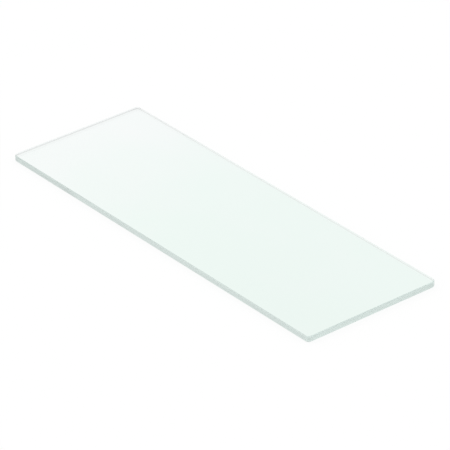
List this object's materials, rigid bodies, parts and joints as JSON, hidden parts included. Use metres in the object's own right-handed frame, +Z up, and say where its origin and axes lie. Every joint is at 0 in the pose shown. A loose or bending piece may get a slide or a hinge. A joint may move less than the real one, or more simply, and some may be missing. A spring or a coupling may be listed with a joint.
{
  "type": "microscope slide",
  "caption": "Thin flat rectangle of clear glass with polished faces, ground edges and slightly dubbed corners, which carries a specimen under a microscope.",
  "frame": {"origin": "centre of the underside, the polished face that the slide lies on", "axes": "+X along the length, +Y across the width, +Z up through the thickness"},
  "size_m": [0.076, 0.026, 0.001],
  "materials": {
    "clear_glass": "polished clear faces with a very faint green tint, satin ground edges"
  },
  "bodies": {
    "root": {"glass_slide": "clear_glass"}
  },
  "joints": []
}
